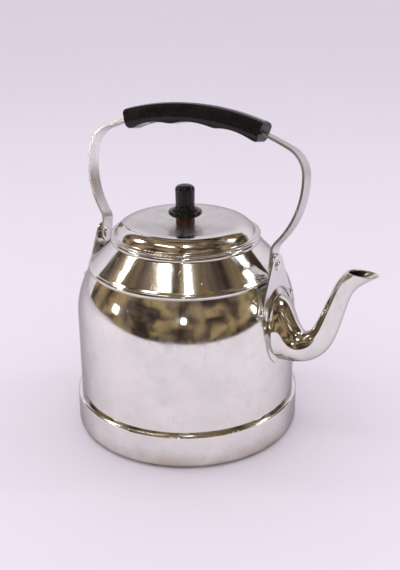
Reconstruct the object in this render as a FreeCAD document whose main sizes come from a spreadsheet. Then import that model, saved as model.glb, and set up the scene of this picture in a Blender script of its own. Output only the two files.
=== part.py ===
"""Stovetop kettle: aluminium body, swan-neck spout, swinging bail handle and lift-off lid.

Millimetres, +Z up. The origin is the centre of the flat underside, on the axis of the body.
+X runs along the spout, and the handle's pivot pins lie on a line parallel to X.
Driving dimensions are in the spreadsheet "dims". A Size carries a number together with the
spreadsheet expression it came from, so every sketch and primitive stays bound to the sheet.
"""
import FreeCAD
import Part
import Sketcher
import math
import os
from FreeCAD import Placement, Rotation, Vector

os.makedirs("parts", exist_ok=True)
doc = FreeCAD.newDocument("stovetop_kettle")

DIMS = {
    # body, drawn and spun from one sheet
    "body_radius": 100.0, "sheet": 1.2, "floor_corner": 8.0,
    "shoulder_start": 110.0, "shoulder_curve": 74.5, "shoulder_turn": 34.5,
    "step_bead": 2.8, "step_centre": 85.2, "step_level": 154.6, "neck_foot": 158.4,
    "mouth_radius": 65.0, "mouth_level": 179.6, "mouth_bead": 2.5,
    # base pan pressed over the foot of the body
    "pan_radius": 103.8, "pan_sheet": 1.8, "pan_height": 33.8, "pan_corner": 7.0,
    "ring_depth": 0.5, "ring_half": 1.0,
    # spout
    "spout_sheet": 1.2, "root_level": 109.5, "root_half_height": 31.5, "root_half_width": 26.5,
    "spout_cut": 175.5,
    # ears and their rivets
    "skin": 1.4, "ear_sheet": 1.5, "ear_inner": 91.2, "ear_tab": 10.0,
    "foot_level": 129.0, "foot_half": 34.5, "plate_level": 136.0, "plate_half": 25.5,
    "arch": 24.0, "arch_level": 124.0,
    "rivet_radius": 1.6, "rivet_head": 3.3, "rivet_crown": 1.7, "rivet_side": 28.5, "rivet_level": 134.0,
    # pivots
    "pivot_level": 168.3, "pin_radius": 2.5, "pin_head": 4.6, "fit": 0.05, "washer_radius": 6.2,
    # bail handle, in its own plane: strap_reach is out along X, heights are above the pivots
    "lean": 11.4, "strap_thick": 2.2, "strap_width": 14.0, "strap_reach": 88.3, "strap_tail": 7.5,
    "strap_rise": 12.0, "kink_curve": 12.0, "kink_turn": 38.7, "kink_run": 4.0,
    "side_curve": 75.2, "corner_curve": 26.0, "grip_curve": 240.0, "grip_height": 118.4,
    # grip
    "grip_width": 19.6, "grip_top": 10.0, "grip_turn": 16.7, "grip_chamfer": 4.0, "grip_shift": -0.7,
    "finger_depth": 5.9, "finger_ridge": 8.8, "finger_turn": 5.5, "grip_screw_turn": 11.0,
    "screw_radius": 1.5, "screw_head": 3.0,
    # lid
    "lid_sheet": 1.0, "crown": 191.6, "lid_roll": 14.0, "lid_roll_centre": 49.5, "lid_roll_level": 180.2,
    "skirt_radius": 60.35, "skirt_foot": 171.0,
    # knob
    "collar_radius": 8.6, "collar_height": 7.6, "knob_flange": 15.2, "knob_radius": 8.8,
    "knob_top": 227.4, "knob_screw": 2.0,
}
# spout stations: distance from the axis, height, heading above level, half height, half width
SPOUT = (
    (90.0, 110.0, 0.0, 31.0, 25.5),
    (97.0, 109.0, -4.0, 29.0, 24.0),
    (101.5, 105.0, -12.0, 24.0, 20.5),
    (106.5, 101.0, -14.0, 18.8, 17.4),
    (113.5, 98.3, -6.0, 15.2, 15.0),
    (123.0, 99.7, 22.0, 13.0, 13.0),
    (132.5, 106.5, 47.0, 11.3, 11.3),
    (139.5, 118.5, 62.0, 10.1, 10.1),
    (144.5, 132.5, 68.0, 9.2, 9.2),
    (149.5, 147.5, 65.0, 8.3, 8.3),
    (155.0, 161.0, 54.0, 8.0, 8.0),
    (163.5, 171.5, 46.0, 8.4, 8.3),
    (174.5, 181.0, 37.0, 9.4, 9.2),
    (184.0, 187.2, 30.0, 10.2, 10.0),
)
STATION = ("out", "up", "head", "tall", "wide")

sheet = doc.addObject("Spreadsheet::Sheet", "dims")
cells = list(DIMS.items())
for index, station in enumerate(SPOUT):
    cells += [(f"spout_{word}_{index:02d}", number) for word, number in zip(STATION, station)]
for row, (alias, number) in enumerate(cells, start=1):
    sheet.set(f"A{row}", alias)
    sheet.set(f"B{row}", str(number))
    sheet.setAlias(f"B{row}", alias)
doc.recompute()


class Size:
    """A length or angle together with the spreadsheet expression that gives it."""

    def __init__(self, number, text):
        self.number = float(number)
        self.text = text

    @staticmethod
    def of(other):
        return other if isinstance(other, Size) else Size(other, repr(float(other)))

    def join(self, other, sign, result):
        return Size(result, f"({self.text} {sign} {Size.of(other).text})")

    def __add__(self, other):
        return self.join(other, "+", self.number + Size.of(other).number)

    def __radd__(self, other):
        return Size.of(other) + self

    def __sub__(self, other):
        return self.join(other, "-", self.number - Size.of(other).number)

    def __rsub__(self, other):
        return Size.of(other) - self

    def __mul__(self, other):
        return self.join(other, "*", self.number * Size.of(other).number)

    def __rmul__(self, other):
        return Size.of(other) * self

    def cos(self):
        return Size(math.cos(math.radians(self.number)), f"cos({self.text} * 1 deg)")

    def sin(self):
        return Size(math.sin(math.radians(self.number)), f"sin({self.text} * 1 deg)")


class Dims:
    """dims.body_radius and so on, each as a Size read from the sheet."""

    def __getattr__(self, alias):
        return Size(getattr(sheet, alias), f"dims.{alias}")


dims = Dims()


def bind(thing, path, size):
    """Bind one property of a document object to the sheet."""
    thing.setExpression(path, Size.of(size).text)


def origin_plane(body, role):
    return next(item for item in body.Origin.OriginFeatures if item.Role == role)


def arc_centre(start, end, radius):
    """Centre of the minor arc from start to end; a positive radius turns left, a negative one right."""
    middle = (start + end) * 0.5
    half = (end - start) * 0.5
    lift = math.sqrt(max(radius * radius - half.Length ** 2, 0.0))
    left = Vector(-half.y, half.x, 0).normalize()
    return middle + left * (lift if radius > 0 else -lift)


def add_sketch(body, name, role, path):
    """A closed outline of (x, y, turn) corners: turn 0 is a straight run to the next corner, otherwise
    the signed radius of an arc. Corners and radii are Sizes or numbers, and each is bound."""
    sketch = body.newObject("Sketcher::SketchObject", name)
    sketch.AttachmentSupport = [(origin_plane(body, role), "")]
    sketch.MapMode = "FlatFace"
    corners = [(Size.of(x), Size.of(y), turn) for x, y, turn in path]
    points = [Vector(x.number, y.number, 0) for x, y, turn in corners]
    starts, ends = [], []
    for index, (_, _, turn) in enumerate(corners):
        start, end = points[index], points[(index + 1) % len(points)]
        radius = Size.of(turn)
        if not radius.number:
            edge = sketch.addGeometry(Part.LineSegment(start, end), False)
            starts.append((edge, 1))
            ends.append((edge, 2))
            continue
        centre = arc_centre(start, end, radius.number)
        first, last = (start, end) if radius.number > 0 else (end, start)
        angles = [math.atan2(p.y - centre.y, p.x - centre.x) for p in (first, last)]
        if angles[1] < angles[0]:
            angles[1] += 2 * math.pi
        circle = Part.Circle(centre, Vector(0, 0, 1), abs(radius.number))
        edge = sketch.addGeometry(Part.ArcOfCircle(circle, *angles), False)
        starts.append((edge, 1) if radius.number > 0 else (edge, 2))
        ends.append((edge, 2) if radius.number > 0 else (edge, 1))
        limit = sketch.addConstraint(Sketcher.Constraint("Radius", edge, abs(radius.number)))
        if isinstance(turn, Size):
            bind(sketch, f"Constraints[{limit}]", turn if radius.number > 0 else -1 * turn)
    for index, (x, y, _) in enumerate(corners):
        edge, spot = starts[index]
        sketch.addConstraint(Sketcher.Constraint("Coincident", *ends[index - 1], edge, spot))
        for kind, axis, size in (("DistanceX", -2, x), ("DistanceY", -1, y)):
            if abs(size.number) < 1e-9:
                sketch.addConstraint(Sketcher.Constraint("PointOnObject", edge, spot, axis))
                continue
            limit = sketch.addConstraint(Sketcher.Constraint(kind, -1, 1, edge, spot, size.number))
            if "dims." in size.text:
                bind(sketch, f"Constraints[{limit}]", size)
    return sketch


def revolved(name, path):
    """A ring or disc turned about Z from an outline of (radius, height, turn) corners."""
    body = doc.addObject("PartDesign::Body", name)
    sketch = add_sketch(body, name + "_profile", "XZ_Plane", path)
    turned = body.newObject("PartDesign::Revolution", name + "_turned")
    turned.Profile = sketch
    turned.ReferenceAxis = (sketch, ["V_Axis"])
    turned.Angle = 360
    return body


def padded(name, role, path, width):
    """A plate or bar padded equally both ways from an origin plane."""
    body = doc.addObject("PartDesign::Body", name)
    sketch = add_sketch(body, name + "_outline", role, path)
    pad = body.newObject("PartDesign::Pad", name + "_pad")
    pad.Profile = sketch
    pad.Midplane = True
    bind(pad, "Length", width)
    return body


def cylinder(name, radius, height, place=None):
    """A round bar standing on its own base; place puts that base and turns +Z along its axis."""
    bar = doc.addObject("Part::Cylinder", name)
    bind(bar, "Radius", radius)
    bind(bar, "Height", height)
    bar.Placement = place or Placement()
    return bar


def half_dome(name, radius, rise, place):
    """The domed crown of a rivet head, flat side at the placed origin."""
    dome = doc.addObject("Part::Ellipsoid", name)
    bind(dome, "Radius1", rise)
    bind(dome, "Radius2", radius)
    dome.Radius3 = 0
    dome.Angle1 = 0
    dome.Placement = place
    return dome


def fused(name, pieces):
    joint = doc.addObject("Part::MultiFuse", name)
    joint.Shapes = pieces
    return joint


def shared(name, pieces):
    overlap = doc.addObject("Part::MultiCommon", name)
    overlap.Shapes = pieces
    return overlap


def grouped(name, pieces):
    """Identical fasteners kept as separate solids in one node."""
    group = doc.addObject("Part::Compound", name)
    group.Links = pieces
    return group


def cut(name, base, tools):
    remainder = doc.addObject("Part::Cut", name)
    remainder.Base = base
    remainder.Tool = tools[0] if len(tools) == 1 else fused(name + "_tools", tools)
    return remainder


def turned_copy(name, source):
    """The same piece on the opposite side of the body, turned half a turn about Z."""
    copy = doc.addObject("Part::Compound", name)
    copy.Links = [source]
    copy.Placement = Placement(Vector(0, 0, 0), Rotation(Vector(0, 0, 1), 180))
    return copy


def doubled(name, source):
    """A cutter together with its twin on the opposite side."""
    return fused(name, [source, turned_copy(name + "_far", source)])


def along(point, direction):
    """Placement at a point with +Z turned to a direction."""
    return Placement(point, Rotation(Vector(0, 0, 1), direction))


# ---------------------------------------------------------------- body surface

def shoulder_corner(offset, turn=dims.shoulder_turn):
    """Where the convex shoulder ends, for a surface offset outward from the body."""
    curve = dims.shoulder_curve + offset
    x = dims.body_radius - dims.shoulder_curve + curve * turn.cos()
    return x, dims.shoulder_start + curve * turn.sin(), curve


def shoulder_place(side, level):
    """Point and outward normal on the body surface at a sideways distance and a height."""
    turn = math.asin((level - dims.shoulder_start.number) / dims.shoulder_curve.number)
    curve = dims.shoulder_curve.number
    radius = dims.body_radius.number - curve + curve * math.cos(turn)
    around = math.asin(side / radius)
    outward = Vector(math.cos(around), math.sin(around), 0)
    point = outward * radius + Vector(0, 0, level)
    return point, outward * math.cos(turn) + Vector(0, 0, math.sin(turn))


def make_envelope():
    """Solid of the body's outside, used to trim what is fastened to it."""
    x, z, curve = shoulder_corner(0)
    return revolved("envelope", [
        (0, 20, 0), (dims.body_radius, 20, 0), (dims.body_radius, dims.shoulder_start, curve),
        (x, z, 0), (x - 2, z + 12, 0), (0, z + 12, 0)])


def make_skin():
    """A thin jacket lying on the wall and shoulder: the stock of the ear feet and the root flange."""
    outer_x, outer_z, outer_curve = shoulder_corner(dims.skin)
    inner_x, inner_z, inner_curve = shoulder_corner(0.02)
    return revolved("skin_stock", [
        (dims.body_radius + 0.02, 60, 0), (dims.body_radius + dims.skin, 60, 0),
        (dims.body_radius + dims.skin, dims.shoulder_start, outer_curve), (outer_x, outer_z, 0),
        (inner_x, inner_z, -1 * inner_curve), (dims.body_radius + 0.02, dims.shoulder_start, 0)])


def make_body_blank():
    """Floor, wall and shoulder, spun from one sheet up to the step below the neck."""
    x, z, curve = shoulder_corner(0)
    in_x, in_z, in_curve = shoulder_corner(-1 * dims.sheet)
    wall, floor = dims.body_radius, dims.pan_sheet
    inside = wall - dims.sheet
    return revolved("body_blank", [
        (0, floor, 0), (wall - dims.floor_corner, floor, dims.floor_corner),
        (wall, floor + dims.floor_corner, 0), (wall, dims.shoulder_start, curve), (x, z, 0),
        (in_x, in_z, -1 * in_curve), (inside, dims.shoulder_start, 0),
        (inside, floor + dims.floor_corner, dims.sheet - dims.floor_corner),
        (wall - dims.floor_corner, floor + dims.sheet, 0), (0, floor + dims.sheet, 0)])


def make_neck():
    """Step bead, sloping neck and the rolled mouth, set on the edge of the shoulder."""
    x, z, _ = shoulder_corner(0)
    in_x, in_z, _ = shoulder_corner(-1 * dims.sheet)
    mouth, level, roll = dims.mouth_radius, dims.mouth_level, dims.mouth_bead
    return revolved("body_neck", [
        (x, z, 0), (dims.step_centre + 1.7, dims.step_level - 2.22, dims.step_bead),
        (dims.step_centre + 0.6, dims.step_level + 2.73, 0), (84.6, dims.neck_foot, 0),
        (mouth + roll * 0.5, level - roll * 0.866, roll), (mouth, level + roll, roll), (mouth - roll, level, 0),
        (mouth - roll * 0.5, level - roll * 0.866, 0), (mouth + 0.1, level - 3.1, 0),
        (83.6, dims.neck_foot - 0.7, 0), (in_x, in_z, 0)])


def make_base_pan():
    """Shallow pan over the foot of the body, with stamped rings under it and a lip turned in on top."""
    outer, corner, sheet_up = dims.pan_radius, dims.pan_corner, dims.pan_sheet
    inner, top, lip = outer - sheet_up, dims.pan_height, dims.body_radius + 0.05
    path = [(0, 0, 0)]
    for ring in (30, 55, 80):
        path += [(ring - 1.4 * dims.ring_half, 0, 0), (ring - dims.ring_half, dims.ring_depth, 0),
                 (ring + dims.ring_half, dims.ring_depth, 0), (ring + 1.4 * dims.ring_half, 0, 0)]
    path += [(outer - corner, 0, corner), (outer, corner, 0), (outer, top - 2.2, 2.2),
             (outer - 2.2, top, 0), (lip, top, 0), (lip, top - 1.4, 0), (inner - 0.6, top - 1.4, 0),
             (inner, top - 2.2, 0), (inner, corner, sheet_up - corner), (outer - corner, sheet_up, 0),
             (0, sheet_up, 0)]
    return revolved("base_pan", path)


# ---------------------------------------------------------------- spout

def spout_loft(name, inset):
    """Swan neck lofted through the stations; inset makes the bore."""
    rings = []
    for index in range(len(SPOUT)):
        at = {word: getattr(dims, f"spout_{word}_{index:02d}") for word in STATION}
        ring = doc.addObject("Part::Ellipse", f"{name}_ring_{index:02d}")
        bind(ring, "MajorRadius", at["tall"] - inset)
        bind(ring, "MinorRadius", at["wide"] - inset)
        ring.Placement = Placement(Vector(0, 0, 0), Rotation(Vector(0, 1, 0), 90 - at["head"].number))
        bind(ring, "Placement.Base.x", at["out"])
        bind(ring, "Placement.Base.z", at["up"])
        bind(ring, "Placement.Rotation.Angle", 90 - at["head"])
        rings.append(ring)
    loft = doc.addObject("Part::Loft", name)
    loft.Sections = rings
    loft.Solid = True
    loft.Ruled = False
    return loft


def make_tip_block():
    """Everything above the level mouth of the spout, to be cut away."""
    block = doc.addObject("Part::Box", "tip_block")
    bind(block, "Length", 100)
    bind(block, "Width", 60)
    bind(block, "Height", 60)
    block.Placement = Placement(Vector(120, -30, 0), Rotation())
    bind(block, "Placement.Base.z", dims.spout_cut)
    return block


def make_root_flange():
    """Oval flange around the spout's root, lying on the wall."""
    oval = doc.addObject("Part::Ellipse", "root_oval")
    bind(oval, "MajorRadius", dims.root_half_height)
    bind(oval, "MinorRadius", dims.root_half_width)
    oval.Placement = Placement(Vector(70, 0, 0), Rotation(Vector(0, 1, 0), 90))
    bind(oval, "Placement.Base.z", dims.root_level)
    prism = doc.addObject("Part::Extrusion", "root_prism")
    prism.Base = oval
    prism.Dir = Vector(60, 0, 0)
    prism.Solid = True
    return shared("root_disc", [prism, skin])


# ---------------------------------------------------------------- ears, rivets and pivots

def ear_outline(half, foot):
    """Tab around the pivot, two straight flanks down to the given half width, and an arch between."""
    tab = dims.ear_tab
    drop = foot - dims.arch_level
    reach = math.sqrt(dims.arch.number ** 2 - drop.number ** 2)
    top = dims.pivot_level
    return [
        (-1 * half + 2.5, foot, 0), (-1 * reach, foot, -1 * dims.arch), (0, dims.arch_level + dims.arch, -1 * dims.arch),
        (reach, foot, 0), (half - 2.5, foot, 3), (half - 0.6, foot + 4.6, 0),
        (tab * 0.87, top + tab * 0.493, tab), (0, top + tab, tab),
        (-0.87 * tab, top + tab * 0.493, 0), (-1 * half + 0.6, foot + 4.6, 3)]


def make_ear(name):
    """Stamped ear: an upright tab in front of the neck whose feet lie on the shoulder."""
    plate = padded(name + "_plate", "YZ_Plane", ear_outline(dims.plate_half, dims.plate_level), dims.ear_sheet)
    bind(plate, "Placement.Base.x", dims.ear_inner + dims.ear_sheet * 0.5)
    prism = padded(name + "_prism", "YZ_Plane", ear_outline(dims.foot_half, dims.foot_level), 60)
    prism.Placement = Placement(Vector(95, 0, 0), Rotation())
    upright = cut(name + "_upright", plate, [envelope])
    feet = shared(name + "_feet", [prism, skin])
    return fused(name + "_blank", [upright, feet])


def rivet_places():
    return [shoulder_place(side * dims.rivet_side.number, dims.rivet_level.number) for side in (-1, 1)]


def make_rivet_holes():
    """Shanks a little oversize, through ear feet and shoulder on both sides."""
    holes = [cylinder(f"rivet_hole_{index}", dims.rivet_radius + dims.fit, 12, along(point - normal * 6, normal))
             for index, (point, normal) in enumerate(rivet_places())]
    return doubled("rivet_holes", fused("rivet_holes_near", holes))


def make_rivets(name):
    """Two rivets: domed head on the ear foot, shank through the shoulder, flat head inside."""
    rivets = []
    for index, (point, normal) in enumerate(rivet_places()):
        outside = point + normal * dims.skin.number
        inside = point - normal * (dims.sheet.number + 1.1)
        shank = cylinder(f"{name}_shank_{index}", dims.rivet_radius, dims.skin + dims.sheet + 1.6, along(inside, normal))
        crown = half_dome(f"{name}_crown_{index}", dims.rivet_head, dims.rivet_crown, along(outside, normal))
        clench = cylinder(f"{name}_clench_{index}", dims.rivet_head, 1, along(inside, normal))
        rivets.append(fused(f"{name}_{index}", [shank, crown, clench]))
    return grouped(name, rivets)


def pivot_bar(name, radius, start, length):
    """A round bar on the front pivot's axis, from a distance along X."""
    bar = cylinder(name, radius, length, along(Vector(0, 0, 0), Vector(1, 0, 0)))
    bind(bar, "Placement.Base.x", start)
    bind(bar, "Placement.Base.z", dims.pivot_level)
    return bar


def make_pivot_pin(name):
    """Pin riveted into the ear: flat head inside the strap, domed head outside the ear."""
    strap_face = dims.strap_reach - dims.strap_thick * 0.5
    outside = dims.ear_inner + dims.ear_sheet
    shaft = pivot_bar(name + "_shaft", dims.pin_radius, strap_face - 1.2, outside - strap_face + 2)
    head = pivot_bar(name + "_head", dims.pin_head, strap_face - dims.fit - 1.2, 1.2)
    crown = half_dome(name + "_crown", dims.pin_head, 2.2, along(Vector(0, 0, 0), Vector(1, 0, 0)))
    bind(crown, "Placement.Base.x", outside)
    bind(crown, "Placement.Base.z", dims.pivot_level)
    return fused(name, [shaft, head, crown])


def make_pivot_washer(name):
    """Spacer that keeps the strap clear of the ear."""
    strap_face = dims.strap_reach + dims.strap_thick * 0.5
    disc = pivot_bar(name + "_disc", dims.washer_radius, strap_face + dims.fit, dims.ear_inner - strap_face - 2 * dims.fit)
    bore = pivot_bar(name + "_bore", dims.pin_radius + dims.fit, strap_face - 2, 8)
    return cut(name, disc, [bore])


# ---------------------------------------------------------------- bail handle

def handle_place():
    """The handle's own frame: X along the pivots, Z up the handle, leaning back by the lean angle."""
    return Placement(Vector(0, 0, dims.pivot_level.number), Rotation(Vector(1, 0, 0), -dims.lean.number))


def on_handle(piece):
    piece.Placement = handle_place().multiply(piece.Placement)
    return piece


def hoop_corners():
    """Centre line of the front half of the strap as (start, end, centre or None), found by tangency."""
    reach, rise = dims.strap_reach.number, dims.strap_rise.number
    kink, turn = dims.kink_curve.number, math.radians(dims.kink_turn.number)
    side, corner = dims.side_curve.number, dims.corner_curve.number
    grip, middle = dims.grip_curve.number, Vector(0, dims.grip_height.number - dims.grip_curve.number, 0)
    foot = Vector(reach, -dims.strap_tail.number, 0)
    kink_start = Vector(reach, rise, 0)
    kink_centre = Vector(reach + kink, rise, 0)
    kink_end = kink_centre + Vector(-kink * math.cos(turn), kink * math.sin(turn), 0)
    heading = Vector(math.sin(turn), math.cos(turn), 0)
    side_start = kink_end + heading * dims.kink_run.number
    side_centre = side_start + Vector(-heading.y, heading.x, 0) * side
    # the corner arc touches the side arc and the grip arc from inside
    base = middle - side_centre
    gap = base.Length
    reach_side, reach_grip = side - corner, grip - corner
    near = (reach_side ** 2 - reach_grip ** 2 + gap ** 2) / (2 * gap)
    across = math.sqrt(reach_side ** 2 - near ** 2)
    unit = base * (1 / gap)
    corner_centre = side_centre + unit * near + Vector(-unit.y, unit.x, 0) * across
    side_end = side_centre + (corner_centre - side_centre).normalize() * side
    corner_end = middle + (corner_centre - middle).normalize() * grip
    return [foot, kink_start, kink_end, side_start, side_end, corner_end], (kink, side, corner, grip), \
        (kink_centre, side_centre, corner_centre, middle)


def strap_outline():
    """Both faces of the strap: the centre line offset by half the thickness each way, mirrored in X."""
    corners, (kink, side, corner, grip), centres = hoop_corners()
    half = dims.strap_thick.number / 2
    kink_centre, side_centre, corner_centre, middle = centres
    frame = ((corners[2], kink_centre, -1), (corners[3], side_centre, 1), (corners[4], side_centre, 1),
             (corners[5], corner_centre, 1))

    def shifted(amount):
        """Front half from the tail up to the grip arc, shifted outward by an amount."""
        points = [corners[0] + Vector(amount, 0, 0), corners[1] + Vector(amount, 0, 0)]
        for point, centre, sense in frame:
            points.append(point + (point - centre).normalize() * (amount * sense))
        turns = [0, -(kink - amount), 0, side + amount, corner + amount]
        return points, turns

    outer, outer_turns = shifted(half)
    inner, inner_turns = shifted(-half)
    path = [(p.x, p.y, turn) for p, turn in zip(outer, outer_turns + [grip + half])]
    mirror = [(-p.x, p.y) for p in reversed(outer)]
    path += [(x, y, turn) for (x, y), turn in zip(mirror, list(reversed(outer_turns)) + [0])]
    path += [(-p.x, p.y, turn) for p, turn in zip(inner, [-t for t in inner_turns] + [-(grip - half)])]
    path += [(p.x, p.y, turn) for p, turn in zip(reversed(inner), [-t for t in reversed(inner_turns)] + [0])]
    return path


def round_tail(body):
    """Round the four corners of the strap's two tails."""
    feature = body.Tip
    doc.recompute()
    picked = []
    for number, edge in enumerate(feature.Shape.Edges, start=1):
        low, high = edge.BoundBox.ZMin, edge.BoundBox.ZMax
        if high - low < 0.01 and high < -dims.strap_tail.number + 0.1 and edge.BoundBox.XLength > 1:
            picked.append(f"Edge{number}")
    rounding = body.newObject("PartDesign::Fillet", "tail_rounding")
    rounding.Base = (feature, picked)
    bind(rounding, "Radius", dims.strap_width * 0.44)
    body.Tip = rounding


def polar(radius, turn, extra=0.0):
    """A point on the grip's fan: distance from the grip's centre of curvature, and turn from upright."""
    angle, level = math.radians(turn + dims.grip_shift.number), dims.grip_height.number - dims.grip_curve.number
    return (radius * math.sin(angle), level + radius * math.cos(angle), extra)


def grip_upper_path():
    curve, turn, top = dims.grip_curve.number, dims.grip_turn.number, dims.grip_top.number
    tip = curve + top
    return [polar(curve, -turn, -curve), polar(curve, turn), polar(tip - 3.5, turn, 3.5), polar(tip, turn - 0.85, tip),
            polar(tip, -turn + 0.85, 3.5), polar(tip - 3.5, -turn)]


def grip_lower_path():
    """Concave finger scallops between ridges that stand out from the underside."""
    curve, turn = dims.grip_curve.number, dims.grip_turn.number
    ridge, hollow = curve - dims.finger_ridge.number, curve - dims.finger_depth.number
    step, half = dims.finger_turn.number, 0.55
    edges = [-turn + 1.1, -step, step, turn - 1.1]
    path = [polar(curve, turn, curve), polar(curve, -turn), polar(ridge + 3.2, -turn, 3.2)]
    for index, ridge_turn in enumerate(edges):
        left = ridge_turn - (half if index else 0.25)
        right = ridge_turn + (half if index < 3 else 0.25)
        path.append(polar(ridge, left))
        if index < 3:
            chord = 2 * ridge * math.sin(math.radians((edges[index + 1] - half - right) / 2))
            rise = hollow - ridge
            path.append(polar(ridge, right, -((chord / 2) ** 2 + rise ** 2) / (2 * rise)))
        else:
            path.append(polar(ridge, right, 3.2))
    path.append(polar(ridge + 3.2, turn))
    return path


def strap_channel():
    """Annular slot that holds the strap inside the two halves."""
    half, curve, turn = dims.strap_thick.number / 2 + 0.05, dims.grip_curve.number, dims.grip_turn.number + 2
    return [polar(curve - half, -turn, -(curve - half)), polar(curve - half, turn), polar(curve + half, turn, curve + half),
            polar(curve + half, -turn)]


def grip_section(name, section):
    """Ring of a given cross-section, (sideways, distance from the centre of curvature), about the grip's fan axis."""
    level = dims.grip_height.number - dims.grip_curve.number
    outline = doc.addObject("Part::Polygon", name + "_section")
    outline.Nodes = [Vector(0, across, level + out) for across, out in section]
    outline.Close = True
    ring_body = doc.addObject("Part::Revolution", name + "_ring")
    ring_body.Source = outline
    ring_body.Axis = Vector(0, 1, 0)
    ring_body.Base = Vector(0, 0, level)
    ring_body.Angle = 360
    ring_body.Solid = True
    return ring_body


def grip_half(name, path, section):
    """One moulded half: its side outline within a bevelled cross-section, less the channel for the strap."""
    blank = padded(name + "_blank", "XZ_Plane", path, dims.grip_width)
    channel = padded(name + "_channel", "XZ_Plane", strap_channel(), dims.strap_width + 0.2)
    moulding = shared(name + "_moulding", [blank, grip_section(name, section)])
    return cut(name + "_half", moulding, [channel])


def upper_section():
    """Flat top with two bevelled long edges."""
    half, curve, top = dims.grip_width.number / 2, dims.grip_curve.number, dims.grip_top.number
    bevel = dims.grip_chamfer.number
    return [(-half, curve - 5), (half, curve - 5), (half, curve + top - bevel), (half - 0.6 * bevel, curve + top - 0.3 * bevel),
            (half - 1.4 * bevel, curve + top + 0.01), (-half + 1.4 * bevel, curve + top + 0.01),
            (-half + 0.6 * bevel, curve + top - 0.3 * bevel), (-half, curve + top - bevel)]


def lower_section():
    """Sides that draw in towards the fingers."""
    half, curve, deep = dims.grip_width.number / 2, dims.grip_curve.number, dims.finger_ridge.number
    return [(-half, curve + 5), (-half, curve - 3), (-half + 1.2, curve - 6), (-half + 3, curve - deep + 1),
            (-half + 4.4, curve - deep - 0.01), (half - 4.4, curve - deep - 0.01), (half - 3, curve - deep + 1),
            (half - 1.2, curve - 6), (half, curve - 3), (half, curve + 5)]


def grip_bar(name, turn, radius, low, high):
    """A bar along a spoke of the grip's fan, between two distances from the centre of curvature."""
    x, z, _ = polar(low, turn)
    turn = math.radians(turn + dims.grip_shift.number)
    return cylinder(name, radius, high - low, along(Vector(x, 0, z), Vector(math.sin(turn), 0, math.cos(turn))))


def both_spokes(name, radius, low, high):
    turns = (-dims.grip_screw_turn.number, dims.grip_screw_turn.number)
    return [grip_bar(f"{name}_{index}", turn, radius, low, high) for index, turn in enumerate(turns)]


# ---------------------------------------------------------------- lid and knob

def lid_path():
    """Flat seat for the knob, shallow dish, rolled shoulder and a flange that rests on the mouth."""
    crown, flange = dims.crown, dims.mouth_level + dims.mouth_bead + 0.05
    roll, centre, level = dims.lid_roll, dims.lid_roll_centre, dims.lid_roll_level
    hole, inner, wall = dims.knob_screw + 0.2, roll - dims.lid_sheet, dims.skirt_radius + 0.05
    top = [(hole, crown, 0), (13, crown, 60), (27, crown + 1.1, 0), (42, crown + 2.3, -40), (centre, level + roll, -14)]
    rim = [(centre + roll * 0.927, level + roll * 0.375, 1.6), (centre + roll * 0.927 + 1.4, flange + 2.25, 0),
           (wall + 5.8, flange + 2.24, -1.12), (wall + 6.92, flange + 1.12, -1.12), (wall + 5.8, flange, 0),
           (wall, flange, 0)]
    under = [(wall, level + 7.09, 13), (centre, level + inner, 39), (42, crown + 1.3, 0), (27, crown + 0.1, -61),
             (13, crown - 1, 0), (hole, crown - 1, 0)]
    return top + rim + under


def make_skirt():
    """Locating ring pressed into the lid, which keeps it from sliding off the mouth."""
    outer, foot = dims.skirt_radius, dims.skirt_foot
    return revolved("lid_skirt", [
        (outer - 1, foot + 1.5, 0), (outer - 2.2, foot, 0), (outer - 1.2, foot - 0.2, 0), (outer, foot + 1.2, 0),
        (outer, 186.8, 0), (outer - 1, 186.8, 0)])


def knob_path():
    """Turned knob: flange with a soft edge, waisted foot and a domed stem."""
    foot = dims.crown + dims.collar_height
    stem, flange, top = dims.knob_radius, dims.knob_flange, dims.knob_top
    bore = dims.knob_screw + 2.0
    return [(bore, foot, 0), (flange - 3, foot, 3), (flange, foot + 3, 2.2), (flange - 2.4, foot + 5, 0),
            (stem + 2.2, foot + 6.4, -3.4), (stem - 0.3, foot + 10, 0), (stem, top - 4.2, 4.2),
            (stem - 3.6, top - 0.8, 17.3), (0, top, 0), (0, foot + 15, 0), (bore, foot + 15, 0)]


def ring(name, inner, outer, low, high):
    """A plain washer or bush about Z."""
    return revolved(name, [(inner, low, 0), (outer, low, 0), (outer, high, 0), (inner, high, 0)])


def make_knob_screw():
    """Pan-head screw from under the lid up into the knob's insert."""
    head = dims.crown - 1.0 - 1.0
    return revolved("knob_screw", [
        (0, head - 2.2, 0), (2.6, head - 2.2, 1.6), (4.2, head - 0.6, 0), (4.2, head, 0), (dims.knob_screw, head, 0),
        (dims.knob_screw, head + 20.5, 0), (0, head + 21.5, 0)])


# ---------------------------------------------------------------- build

envelope = make_envelope()
skin = make_skin()
spout_outside = spout_loft("spout_outside", 0)
spout_inside = spout_loft("spout_inside", dims.spout_sheet)
tip_block = make_tip_block()
rivet_holes = make_rivet_holes()
pin_hole = pivot_bar("pin_hole", dims.pin_radius, 80, 20)

nodes = {"base_pan": make_base_pan()}
nodes["body_shell"] = cut("body_shell", make_body_blank(), [spout_inside, rivet_holes])
nodes["body_neck"] = make_neck()
nodes["spout"] = cut("spout", spout_outside, [spout_inside, envelope, tip_block])
nodes["spout_flange"] = cut("spout_flange", make_root_flange(), [spout_outside])

front_ear = cut("front_ear", make_ear("ear"), [rivet_holes, pin_hole])
front_fittings = {
    "ear": front_ear,
    "ear_rivets": make_rivets("front_ear_rivets"),
    "pivot_pin": make_pivot_pin("front_pivot_pin"),
    "pivot_washer": make_pivot_washer("front_pivot_washer"),
}
for name, piece in front_fittings.items():
    nodes["front_" + name] = piece
    nodes["rear_" + name] = turned_copy("rear_" + name, piece)

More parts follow.
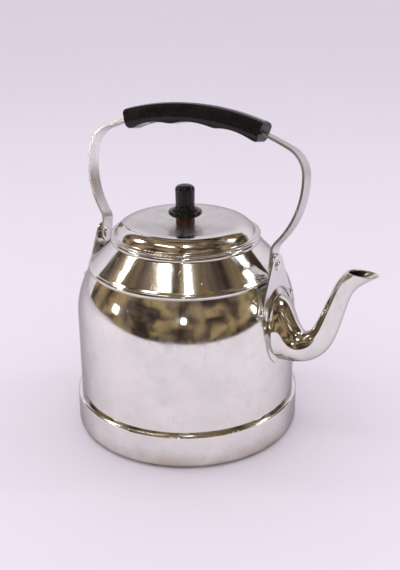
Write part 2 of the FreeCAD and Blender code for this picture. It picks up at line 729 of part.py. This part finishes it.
strap = padded("strap_blank", "XZ_Plane", strap_outline(), dims.strap_width)
round_tail(strap)
ridge_face = dims.grip_curve.number - dims.finger_depth.number - 0.3
screw_end = dims.grip_curve.number + 6.0
pivot_hole = cylinder("strap_pivot_hole", dims.pin_radius + dims.fit, 240, along(Vector(-120, 0, 0), Vector(1, 0, 0)))
strap_tools = [pivot_hole] + both_spokes("strap_screw_hole", dims.screw_radius + 0.2, 230, 250)
nodes["handle_strap"] = on_handle(cut("handle_strap", strap, strap_tools))
insert_low = dims.grip_curve.number + 1.6
upper_tools = both_spokes("insert_pocket", 2.6, 239, insert_low + 5.0)
nodes["grip_upper"] = on_handle(cut("grip_upper", grip_half("upper", grip_upper_path(), upper_section()), upper_tools))
lower_tools = both_spokes("lower_screw_hole", dims.screw_radius + 0.1, 225, 245)
lower_tools += both_spokes("lower_screw_seat", dims.screw_head + 0.1, 225, ridge_face + 2.2)
nodes["grip_lower"] = on_handle(cut("grip_lower", grip_half("lower", grip_lower_path(), lower_section()), lower_tools))
shanks = both_spokes("grip_screw_shank", dims.screw_radius, ridge_face + 0.5, screw_end)
heads = both_spokes("grip_screw_head", dims.screw_head, ridge_face + 0.2, ridge_face + 2.1)
screws = [fused(f"grip_screw_{index}", list(pair)) for index, pair in enumerate(zip(shanks, heads))]
nodes["grip_screws"] = on_handle(grouped("grip_screws", screws))
bushes = both_spokes("grip_bush", 2.55, insert_low, insert_low + 4.9)
bores = both_spokes("grip_bush_bore", dims.screw_radius + 0.05, 235, 255)
inserts = [cut(f"grip_insert_{index}", bush, [bore]) for index, (bush, bore) in enumerate(zip(bushes, bores))]
nodes["grip_inserts"] = on_handle(grouped("grip_inserts", inserts))

lid_under = dims.crown - 1.0
collar_foot = dims.crown + 0.02
nodes["lid_shell"] = revolved("lid_shell", lid_path())
nodes["lid_skirt"] = make_skirt()
nodes["knob_collar"] = ring("knob_collar", dims.knob_screw + 0.1, dims.collar_radius, collar_foot,
                            dims.crown + dims.collar_height - 0.02)
nodes["knob"] = revolved("knob", knob_path())
nodes["knob_insert"] = ring("knob_insert", dims.knob_screw + 0.05, dims.knob_screw + 1.95,
                            dims.crown + dims.collar_height + 0.2, dims.crown + dims.collar_height + 14)
nodes["knob_washer"] = ring("knob_washer", dims.knob_screw + 0.1, 6.5, lid_under - 0.98, lid_under - 0.1)
nodes["knob_screw"] = make_knob_screw()

for label, piece in nodes.items():
    piece.Label = label
doc.recompute()

broken = [item.Name for item in doc.Objects if "Invalid" in item.State or "Error" in item.State]
if broken:
    raise RuntimeError("objects that did not compute: " + ", ".join(broken))
for label, piece in nodes.items():
    if piece.Shape.isNull() or not piece.Shape.isValid():
        raise RuntimeError("no valid shape: " + label)
    if not piece.Shape.Solids:
        raise RuntimeError("no solid: " + label)
for label, piece in nodes.items():
    piece.Shape.exportStep(f"parts/{label}.step")
    print(f"{label}: {len(piece.Shape.Solids)} solid(s), {piece.Shape.Volume:.0f} mm3")
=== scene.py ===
"""Stovetop kettle: materials, small made pieces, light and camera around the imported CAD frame."""
import math
import bpy
import bmesh
from mathutils import Matrix, Vector


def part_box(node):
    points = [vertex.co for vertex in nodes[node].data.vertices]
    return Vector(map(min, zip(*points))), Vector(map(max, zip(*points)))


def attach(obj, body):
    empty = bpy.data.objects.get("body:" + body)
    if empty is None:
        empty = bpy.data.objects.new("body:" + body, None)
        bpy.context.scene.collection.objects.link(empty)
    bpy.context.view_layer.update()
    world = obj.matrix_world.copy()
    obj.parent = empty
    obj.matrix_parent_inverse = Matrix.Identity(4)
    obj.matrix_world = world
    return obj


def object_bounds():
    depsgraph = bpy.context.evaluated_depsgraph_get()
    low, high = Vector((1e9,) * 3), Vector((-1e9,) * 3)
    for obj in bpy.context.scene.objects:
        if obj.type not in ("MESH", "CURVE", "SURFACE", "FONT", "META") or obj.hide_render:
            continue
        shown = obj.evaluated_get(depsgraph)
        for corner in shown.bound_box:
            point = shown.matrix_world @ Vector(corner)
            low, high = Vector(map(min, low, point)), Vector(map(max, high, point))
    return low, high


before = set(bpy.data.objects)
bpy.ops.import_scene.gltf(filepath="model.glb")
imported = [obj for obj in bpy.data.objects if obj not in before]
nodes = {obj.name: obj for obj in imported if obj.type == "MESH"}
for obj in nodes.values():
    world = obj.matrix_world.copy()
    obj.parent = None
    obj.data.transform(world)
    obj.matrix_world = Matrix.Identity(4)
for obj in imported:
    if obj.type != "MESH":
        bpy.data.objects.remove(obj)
cad_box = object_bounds()

# ---------------------------------------------------------------- camera
VIEW_AZIMUTH = math.radians(31)       # turned from -Y towards the spout
VIEW_ELEVATION = math.radians(22.0)
VIEW_ROLL = math.radians(-0.4)
VIEW_DISTANCE = 0.8406
VIEW_SHIFT = (0.0125, 0.0292)         # how far the view's centre lies right of and above the axis point
AXIS_POINT = Vector((0, 0, 0.100))
LENS = 56.88
SENSOR_WIDTH = 36
CLIP_START = 0.01
TOWARDS_VIEWER = (math.sin(VIEW_AZIMUTH), -math.cos(VIEW_AZIMUTH), 0)

# ---------------------------------------------------------------- surroundings
FLOOR_RADIUS = 9.0
FLOOR_SIDES = 96
FLOOR_GAP = 0.0002                    # the floor lies this far below the kettle's foot
FLOOR_TINT = (0.80, 0.765, 0.83)
SHEET_RADIUS = 0.62                   # how far the pale sheet reaches as the metal mirrors it
SHEET_FADE = 0.16                     # the width over which it ends
ROOM_DARK = (0.030, 0.020, 0.017)
ROOM_WARM = (0.38, 0.275, 0.14)
ROOM_GREY = (0.16, 0.11, 0.12)
ROOM_POSTS = (0.03, 0.022, 0.02)
BACKDROP = (0.84, 0.80, 0.89)
MIRRORED_STRENGTH = 1.06
SOFT_LIGHT = (0.83, 0.79, 0.85)
SOFT_STRENGTH = 1.10
SEEN_WALL = (0.77, 0.72, 0.80)
WINDOW_TINT = (1.0, 0.97, 0.95)
# name, bearing from the near side and elevation in degrees, distance, width and height, power in watts
WINDOWS = (
    ("window_left_high", -103, 44, 1.7, (0.26, 0.36), 2.4),
    ("window_right_high", 101, 44, 1.7, (0.24, 0.34), 2.4),
    ("window_left_low", -77, 13, 1.9, (0.22, 0.26), 1.6),
    ("window_right_low", 77, 13, 1.9, (0.22, 0.26), 1.6),
    ("window_above", 2, 68, 1.8, (0.11, 0.40), 1.6),
    ("window_side_above", -52, 62, 1.8, (0.75, 0.16), 1.6),
    ("window_front", -3, 20, 2.2, (0.14, 0.26), 1.2),
)

# ---------------------------------------------------------------- finishes
EDGE_TINT = (0.50, 0.48, 0.50)        # polished metal seen at a flat angle
HEAT_TINT = (0.42, 0.33, 0.22)        # browning by the flame
HEAT_HEIGHT = 0.022                   # how far up the foot the browning reaches
SCOUR_RADII = (0.050, 0.040)          # the scoured middle of the lid fades between these
DENT = Vector((0.0512, -0.0859, 0.1085))
DENT_RADIUS = 0.0065
DENT_DEPTH = 0.00045
RING_DEPTH = 0.000012                 # lines left by spinning
SCRATCH_DEPTH = 0.00002
MOULDING_WAVE = 0.00022
MOULDING_GRAIN = 0.00002
MOULDING_IOR = 1.45
MOULDING_SHINE = 0.34
TURNING_DEPTH = 0.00002
FITTING_WAVE = 0.0002

# ---------------------------------------------------------------- spout lip
LIP_BEAD = 0.00075                    # radius of the rolled bead
LIP_INSET = 0.00085                   # bead's centre line inside the outer edge of the cut
LIP_DROP = 0.0006                     # bead's centre line below the cut
LIP_POINTS = 40
CUT_BAND = 0.00005                    # vertices this close to the top belong to the cut

# sockets of a colour Mix node
MIX_FIRST, MIX_SECOND, MIX_RESULT = 6, 7, 2

bpy.context.scene.view_settings.view_transform = "Standard"


# ---------------------------------------------------------------- node helpers
def scaled(tint, share):
    return tuple(share * part for part in tint)


class Tree:
    """A thin wrapper that adds and links shader nodes."""

    def __init__(self, tree):
        self.tree = tree
        self.tree.nodes.clear()

    def add(self, kind, **settings):
        node = self.tree.nodes.new(kind)
        for name, value in settings.items():
            setattr(node, name, value)
        return node

    def link(self, source, target):
        self.tree.links.new(source, target)

    def feed(self, target, value):
        """Set a socket's value, or link it when the value is another socket."""
        if isinstance(value, bpy.types.NodeSocket):
            self.link(value, target)
        else:
            target.default_value = value

    def maths(self, operation, first, second=None):
        node = self.add("ShaderNodeMath", operation=operation)
        self.feed(node.inputs[0], first)
        if second is not None:
            self.feed(node.inputs[1], second)
        return node.outputs[0]

    def plus(self, first, second):
        return self.maths("ADD", first, second)

    def times(self, first, second):
        return self.maths("MULTIPLY", first, second)

    def ramp(self, value, low, high, start=0.0, end=1.0):
        """value mapped smoothly from low..high to start..end."""
        node = self.add("ShaderNodeMapRange", clamp=True, interpolation_type="SMOOTHSTEP")
        for index, item in enumerate((value, low, high, start, end)):
            self.feed(node.inputs[index], item)
        return node.outputs[0]

    def noise(self, vector, scale, detail=3.0, roughness=0.5, distortion=0.0):
        node = self.add("ShaderNodeTexNoise")
        self.link(vector, node.inputs["Vector"])
        node.inputs["Scale"].default_value = scale
        node.inputs["Detail"].default_value = detail
        node.inputs["Roughness"].default_value = roughness
        node.inputs["Distortion"].default_value = distortion
        return node.outputs["Fac"]

    def stretch(self, vector, scale, turn=(0, 0, 0)):
        node = self.add("ShaderNodeMapping")
        self.link(vector, node.inputs["Vector"])
        node.inputs["Scale"].default_value = scale
        node.inputs["Rotation"].default_value = turn
        return node.outputs["Vector"]

    def split(self, vector):
        node = self.add("ShaderNodeSeparateXYZ")
        self.link(vector, node.inputs[0])
        return node.outputs

    def measure(self, operation, vector, other):
        """Dot product with, or distance from, a fixed vector."""
        node = self.add("ShaderNodeVectorMath", operation=operation)
        self.link(vector, node.inputs[0])
        node.inputs[1].default_value = other
        return node.outputs["Value"]

    def mix(self, factor, first, second):
        node = self.add("ShaderNodeMix", data_type="RGBA")
        self.feed(node.inputs["Factor"], factor)
        for socket, value in ((node.inputs[MIX_FIRST], first), (node.inputs[MIX_SECOND], second)):
            self.feed(socket, value if isinstance(value, bpy.types.NodeSocket) else (*value, 1.0))
        return node.outputs[MIX_RESULT]

    def bump(self, height, distance, strength=1.0, under=None):
        node = self.add("ShaderNodeBump")
        self.link(height, node.inputs["Height"])
        node.inputs["Distance"].default_value = distance
        node.inputs["Strength"].default_value = strength
        if under is not None:
            self.link(under, node.inputs["Normal"])
        return node.outputs["Normal"]

    def background(self, colour, strength=1.0):
        node = self.add("ShaderNodeBackground")
        self.feed(node.inputs["Color"], colour)
        node.inputs["Strength"].default_value = strength
        return node.outputs[0]

    def blend(self, factor, first, second):
        """One shader turning into another."""
        node = self.add("ShaderNodeMixShader")
        for index, source in enumerate((factor, first, second)):
            self.link(source, node.inputs[index])
        return node.outputs[0]


def new_material(name):
    """Material, its tree, its shader, its output's surface socket and the place on the object."""
    material = bpy.data.materials.new(name)
    material.use_nodes = True
    tree = Tree(material.node_tree)
    shader = tree.add("ShaderNodeBsdfPrincipled")
    surface = tree.add("ShaderNodeOutputMaterial").inputs["Surface"]
    tree.link(shader.outputs["BSDF"], surface)
    place = tree.add("ShaderNodeTexCoord").outputs["Object"]
    return material, tree, shader, surface, place


def polar_place(tree, place):
    """(distance from the axis, turn around it, height) of a point, then its height and that distance."""
    x, y, z = tree.split(place)
    radius = tree.maths("SQRT", tree.plus(tree.times(x, x), tree.times(y, y)))
    turn = tree.maths("ARCTAN2", y, x)
    join = tree.add("ShaderNodeCombineXYZ")
    for index, part in enumerate((radius, tree.times(turn, 0.1), z)):
        tree.link(part, join.inputs[index])
    return join.outputs[0], z, radius


def scratch_mask(tree, place, scale, turn, threshold=0.70):
    """Thin broken lines: the crest of a noise pulled out along one direction."""
    along = scale * 0.04
    crest = tree.noise(tree.stretch(place, (scale, along, along), turn), 1.0, detail=2.0, roughness=0.6)
    return tree.ramp(crest, threshold, threshold + 0.03)


# ---------------------------------------------------------------- materials
def aluminium(name, tint, rough, wobble, spun=True, scuffs=0.5, dented=False, heated=False, scoured=0.0):
    """Hand-polished aluminium: spinning marks, wipe marks, small scratches and slow dents in the sheet."""
    material, tree, shader, surface, place = new_material(name)
    round_place, height, radius = polar_place(tree, place)
    shader.inputs["Metallic"].default_value = 1.0
    shader.inputs["Specular Tint"].default_value = (*EDGE_TINT, 1)
    wiped_place = tree.stretch(round_place, (22, 60, 9))
    wipes = tree.noise(wiped_place, 1.0, detail=5.0, roughness=0.62, distortion=0.6)
    clouds = tree.noise(place, 26.0, detail=4.0, roughness=0.6)
    grime = tree.ramp(tree.noise(place, 75.0, detail=6.0, roughness=0.7), 0.50, 0.78)
    marks = tree.maths("MAXIMUM", scratch_mask(tree, place, 900, (0.5, 0.9, 0.3)),
                       scratch_mask(tree, place, 700, (1.9, 0.4, 2.1)))

    colour = tree.mix(tree.ramp(clouds, 0.35, 0.72, end=0.55), tint, scaled(tint, 0.80))
    colour = tree.mix(tree.times(grime, 0.35), colour, scaled(tint, 0.62))
    if heated:
        near_flame = tree.ramp(height, HEAT_HEIGHT, 0.0, end=0.75)
        browned = tree.times(near_flame, tree.ramp(clouds, 0.3, 0.7, start=0.35))
        colour = tree.mix(browned, colour, HEAT_TINT)
    tree.link(colour, shader.inputs["Base Color"])

    gloss = tree.ramp(wipes, 0.32, 0.72, *rough)
    gloss = tree.plus(gloss, tree.times(marks, 0.22 * scuffs))
    gloss = tree.plus(gloss, tree.times(grime, 0.12))
    if scoured:
        gloss = tree.plus(gloss, tree.ramp(radius, *SCOUR_RADII, end=scoured))
    tree.link(gloss, shader.inputs["Roughness"])

    slow = tree.noise(tree.stretch(round_place, (12, 16, 8)), 1.0, detail=1.0, roughness=0.4)
    normal = tree.bump(slow, wobble)
    normal = tree.bump(tree.noise(place, 55.0, detail=2.0), wobble * 0.10, under=normal)
    if dented:
        hollow = tree.ramp(tree.measure("DISTANCE", place, DENT), 0.0, DENT_RADIUS)
        normal = tree.bump(hollow, DENT_DEPTH, under=normal)
    if spun:
        rings = tree.noise(tree.stretch(round_place, (2600, 3, 2600)), 1.0, detail=2.0)
        normal = tree.bump(rings, RING_DEPTH, under=normal)
    normal = tree.bump(marks, SCRATCH_DEPTH * scuffs, under=normal)
    tree.link(normal, shader.inputs["Normal"])
    return material


def bakelite(name, tint, fleck, rough, fleck_share):
    """Moulded phenolic: deep gloss, faint mottling, dust in the surface and handling scratches."""
    material, tree, shader, surface, place = new_material(name)
    mottle = tree.noise(place, 160.0, detail=5.0, roughness=0.65, distortion=0.8)
    flecks = tree.ramp(tree.noise(place, 900.0, detail=2.0), 0.66, 0.74)
    colour = tree.mix(tree.times(tree.ramp(mottle, 0.42, 0.72), 0.75), tint, fleck)
    colour = tree.mix(tree.times(flecks, fleck_share), colour, scaled(fleck, 2.2))
    tree.link(colour, shader.inputs["Base Color"])

    smear = tree.noise(place, 48.0, detail=5.0, roughness=0.65, distortion=0.4)
    scratches = scratch_mask(tree, place, 800, (0.2, 0.3, 0.9), threshold=0.69)
    gloss = tree.ramp(smear, 0.3, 0.75, rough, rough + 0.16)
    tree.link(tree.plus(gloss, tree.times(scratches, 0.18)), shader.inputs["Roughness"])

    normal = tree.bump(smear, MOULDING_WAVE)
    normal = tree.bump(tree.noise(place, 620.0, detail=2.0), MOULDING_GRAIN, under=normal)
    tree.link(normal, shader.inputs["Normal"])
    shader.inputs["IOR"].default_value = MOULDING_IOR
    shader.inputs["Specular IOR Level"].default_value = MOULDING_SHINE
    return material


def turned_metal(name, tint, rough):
    """Small turned or stamped fittings: machining lines and random patches of dark grime."""
    material, tree, shader, surface, place = new_material(name)
    shader.inputs["Metallic"].default_value = 1.0
    grime = tree.ramp(tree.noise(place, 300.0, detail=5.0, roughness=0.7), 0.45, 0.75)
    tree.link(tree.mix(tree.times(grime, 0.55), tint, scaled(tint, 0.45)), shader.inputs["Base Color"])
    tree.link(tree.ramp(grime, 0.0, 1.0, rough, rough + 0.22), shader.inputs["Roughness"])
    lines = tree.noise(tree.stretch(place, (3000, 60, 3000)), 1.0, detail=2.0)
    normal = tree.bump(lines, TURNING_DEPTH)
    normal = tree.bump(tree.noise(place, 240.0, detail=2.0), FITTING_WAVE, under=normal)
    tree.link(normal, shader.inputs["Normal"])
    return material


SPUN_TINT = (0.87, 0.86, 0.81)
body_metal = aluminium("polished_body", SPUN_TINT, (0.055, 0.15), 0.0011, dented=True)
base_metal = aluminium("polished_base", (0.90, 0.88, 0.84), (0.07, 0.22), 0.0009, scuffs=1.0, heated=True)
spout_metal = aluminium("polished_spout", SPUN_TINT, (0.05, 0.15), 0.0004, spun=False)
lid_metal = aluminium("polished_lid", SPUN_TINT, (0.06, 0.15), 0.0005, scoured=0.20)
strap_metal = aluminium("polished_strap", (0.87, 0.86, 0.85), (0.20, 0.36), 0.0002, spun=False, scuffs=1.0)
ear_metal = aluminium("stamped_ear", (0.92, 0.91, 0.90), (0.14, 0.28), 0.0003, spun=False, scuffs=1.0)
black_moulding = bakelite("black_bakelite", (0.006, 0.0055, 0.006), (0.014, 0.012, 0.012), 0.09, 0.35)
brown_moulding = bakelite("brown_bakelite", (0.045, 0.016, 0.009), (0.13, 0.055, 0.03), 0.12, 0.65)
rivet_metal = turned_metal("rivet_aluminium", (0.84, 0.82, 0.80), 0.22)
steel = turned_metal("bright_steel", (0.62, 0.60, 0.58), 0.20)
brass = turned_metal("turned_brass", (0.80, 0.60, 0.26), 0.24)

FINISHES = (
    (base_metal, ("base_pan",)),
    (body_metal, ("body_shell", "body_neck")),
    (spout_metal, ("spout", "spout_flange")),
    (ear_metal, ("front_ear", "rear_ear", "lid_skirt")),
    (rivet_metal, ("front_ear_rivets", "rear_ear_rivets", "front_pivot_pin", "rear_pivot_pin")),
    (steel, ("front_pivot_washer", "rear_pivot_washer", "grip_screws", "knob_washer", "knob_screw")),
    (strap_metal, ("handle_strap",)),
    (black_moulding, ("grip_upper", "grip_lower", "knob")),
    (brown_moulding, ("knob_collar",)),
    (brass, ("grip_inserts", "knob_insert")),
    (lid_metal, ("lid_shell",)),
)
for finish, names in FINISHES:
    for name in names:
        nodes[name].data.materials.clear()
        nodes[name].data.materials.append(finish)


# ---------------------------------------------------------------- rolled lip of the spout
def outer_rim(points, middle):
    """The farthest point from the middle in each of the sectors around it, in order around it."""
    farthest = {}
    for point in points:
        away = point - middle
        sector = int((math.atan2(away.y, away.x) + math.pi) / (2 * math.pi) * LIP_POINTS) % LIP_POINTS
        if sector not in farthest or away.length > (farthest[sector] - middle).length:
            farthest[sector] = point
    return [farthest[sector] for sector in sorted(farthest)]


def make_lip():
    """A thin bead rolled round the edge of the spout's mouth, laid along the outer edge of the cut."""
    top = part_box("spout")[1][2]
    cut = [vertex.co.copy() for vertex in nodes["spout"].data.vertices if vertex.co.z > top - CUT_BAND]
    middle = sum(cut, Vector()) / len(cut)
    rim = outer_rim(cut, middle)
    curve = bpy.data.curves.new("spout_lip", "CURVE")
    curve.dimensions = "3D"
    curve.bevel_depth = LIP_BEAD
    curve.bevel_resolution = 4
    curve.resolution_u = 4
    line = curve.splines.new("NURBS")
    line.points.add(len(rim) - 1)
    for knot, point in zip(line.points, rim):
        away = point - middle
        place = middle + away * (1 - LIP_INSET / away.length)
        knot.co = (place.x, place.y, top - LIP_DROP, 1)
    line.use_cyclic_u = True
    line.order_u = 4
    lip = bpy.data.objects.new("spout_lip", curve)
    bpy.context.scene.collection.objects.link(lip)
    curve.materials.append(spout_metal)
    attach(lip, "kettle")


# ---------------------------------------------------------------- floor
def make_floor():
    """A wide pale table top, which ends for mirrored rays where the sheet under the kettle ends."""
    mesh = bpy.data.meshes.new("floor")
    shape = bmesh.new()
    bmesh.ops.create_circle(shape, cap_ends=True, segments=FLOOR_SIDES, radius=FLOOR_RADIUS)
    shape.to_mesh(mesh)
    shape.free()
    floor = bpy.data.objects.new("floor", mesh)
    bpy.context.scene.collection.objects.link(floor)
    floor.location.z = cad_box[0][2] - FLOOR_GAP

    material, tree, shader, surface, place = new_material("pale_floor")
    colour = tree.mix(tree.noise(place, 3.0), FLOOR_TINT, scaled(FLOOR_TINT, 0.97))
    tree.link(colour, shader.inputs["Base Color"])
    shader.inputs["Roughness"].default_value = 0.75
    grain = tree.noise(place, 220.0, roughness=0.6)
    tree.link(tree.bump(grain, 0.0001, strength=0.6), shader.inputs["Normal"])
    wander = tree.times(tree.noise(place, 3.5, detail=2.0), 0.16)
    reach = tree.plus(tree.measure("DOT_PRODUCT", place, TOWARDS_VIEWER), wander)
    beyond = tree.ramp(reach, SHEET_RADIUS, SHEET_RADIUS + SHEET_FADE)
    mirrored = tree.add("ShaderNodeLightPath").outputs["Is Glossy Ray"]
    clear = tree.add("ShaderNodeBsdfTransparent").outputs["BSDF"]
    tree.link(tree.blend(tree.times(beyond, mirrored), shader.outputs["BSDF"], clear), surface)
    mesh.materials.append(material)


# ---------------------------------------------------------------- light
def make_world():
    """Soft pale light for the scene, and a warm dim room with a pale far side for the metal to mirror."""
    world = bpy.data.worlds.new("studio")
    bpy.context.scene.world = world
    world.use_nodes = True
    tree = Tree(world.node_tree)
    direction = tree.add("ShaderNodeTexCoord").outputs["Generated"]
    height = tree.split(direction)[2]
    side = tree.measure("DOT_PRODUCT", direction, TOWARDS_VIEWER)

    patches = tree.noise(direction, 2.3, detail=4.0, roughness=0.6, distortion=0.9)
    room = tree.mix(tree.ramp(patches, 0.40, 0.66), ROOM_DARK, ROOM_WARM)
    grey = tree.ramp(tree.noise(direction, 4.6, detail=2.0), 0.50, 0.70, end=0.55)
    room = tree.mix(grey, room, ROOM_GREY)
    posts = tree.noise(tree.stretch(direction, (7.0, 7.0, 1.2)), 1.0, detail=2.0)
    room = tree.mix(tree.ramp(posts, 0.58, 0.66, end=0.7), room, ROOM_POSTS)
    # the pale backdrop stands on the far side and ends at a soft upper edge
    edge = tree.plus(-0.02, tree.ramp(side, -0.26, -0.76, -0.6, 0.78))
    above = tree.ramp(tree.maths("SUBTRACT", height, edge), -0.04, 0.06)

    mirrored = tree.background(tree.mix(above, BACKDROP, room), MIRRORED_STRENGTH)
    soft = tree.background((*SOFT_LIGHT, 1), SOFT_STRENGTH)
    wall = tree.background((*SEEN_WALL, 1))
    rays = tree.add("ShaderNodeLightPath").outputs
    unseen = tree.blend(rays["Is Glossy Ray"], soft, mirrored)
    seen = tree.blend(rays["Is Camera Ray"], unseen, wall)
    tree.link(seen, tree.add("ShaderNodeOutputWorld").inputs["Surface"])


def make_window(name, azimuth, elevation, distance, size, watts):
    """A soft rectangular light, placed by its bearing from the near side of the kettle."""
    light = bpy.data.lights.new(name, "AREA")
    light.shape = "RECTANGLE"
    light.size, light.size_y = size
    light.energy = watts
    light.color = WINDOW_TINT
    lamp = bpy.data.objects.new(name, light)
    bpy.context.scene.collection.objects.link(lamp)
    bearing = VIEW_AZIMUTH - math.pi / 2 + math.radians(azimuth)
    rise = math.radians(elevation)
    level = math.cos(rise)
    away = Vector((level * math.cos(bearing), level * math.sin(bearing), math.sin(rise)))
    lamp.location = AXIS_POINT + away * distance
    lamp.rotation_euler = away.to_track_quat("Z", "Y").to_euler()


# ---------------------------------------------------------------- camera
def view_axes():
    """Right, up and back directions of the camera."""
    back = Vector((0, -math.cos(VIEW_ELEVATION), math.sin(VIEW_ELEVATION)))
    right = Vector((1, 0, 0))
    up = back.cross(right)
    rolled_right = right * math.cos(VIEW_ROLL) + up * math.sin(VIEW_ROLL)
    rolled_up = up * math.cos(VIEW_ROLL) - right * math.sin(VIEW_ROLL)
    turn = Matrix.Rotation(VIEW_AZIMUTH, 3, "Z")
    return turn @ rolled_right, turn @ rolled_up, turn @ back


def make_camera():
    right, up, back = view_axes()
    place = AXIS_POINT + back * VIEW_DISTANCE + right * VIEW_SHIFT[0] + up * VIEW_SHIFT[1]
    camera = bpy.data.objects.new("camera", bpy.data.cameras.new("camera"))
    bpy.context.scene.collection.objects.link(camera)
    rows = [(*(axis[row] for axis in (right, up, back)), place[row]) for row in range(3)]
    camera.matrix_world = Matrix((*rows, (0, 0, 0, 1)))
    camera.data.lens = LENS
    camera.data.sensor_width = SENSOR_WIDTH
    camera.data.clip_start = CLIP_START
    bpy.context.scene.camera = camera


make_lip()
make_floor()
make_world()
for window in WINDOWS:
    make_window(*window)
make_camera()
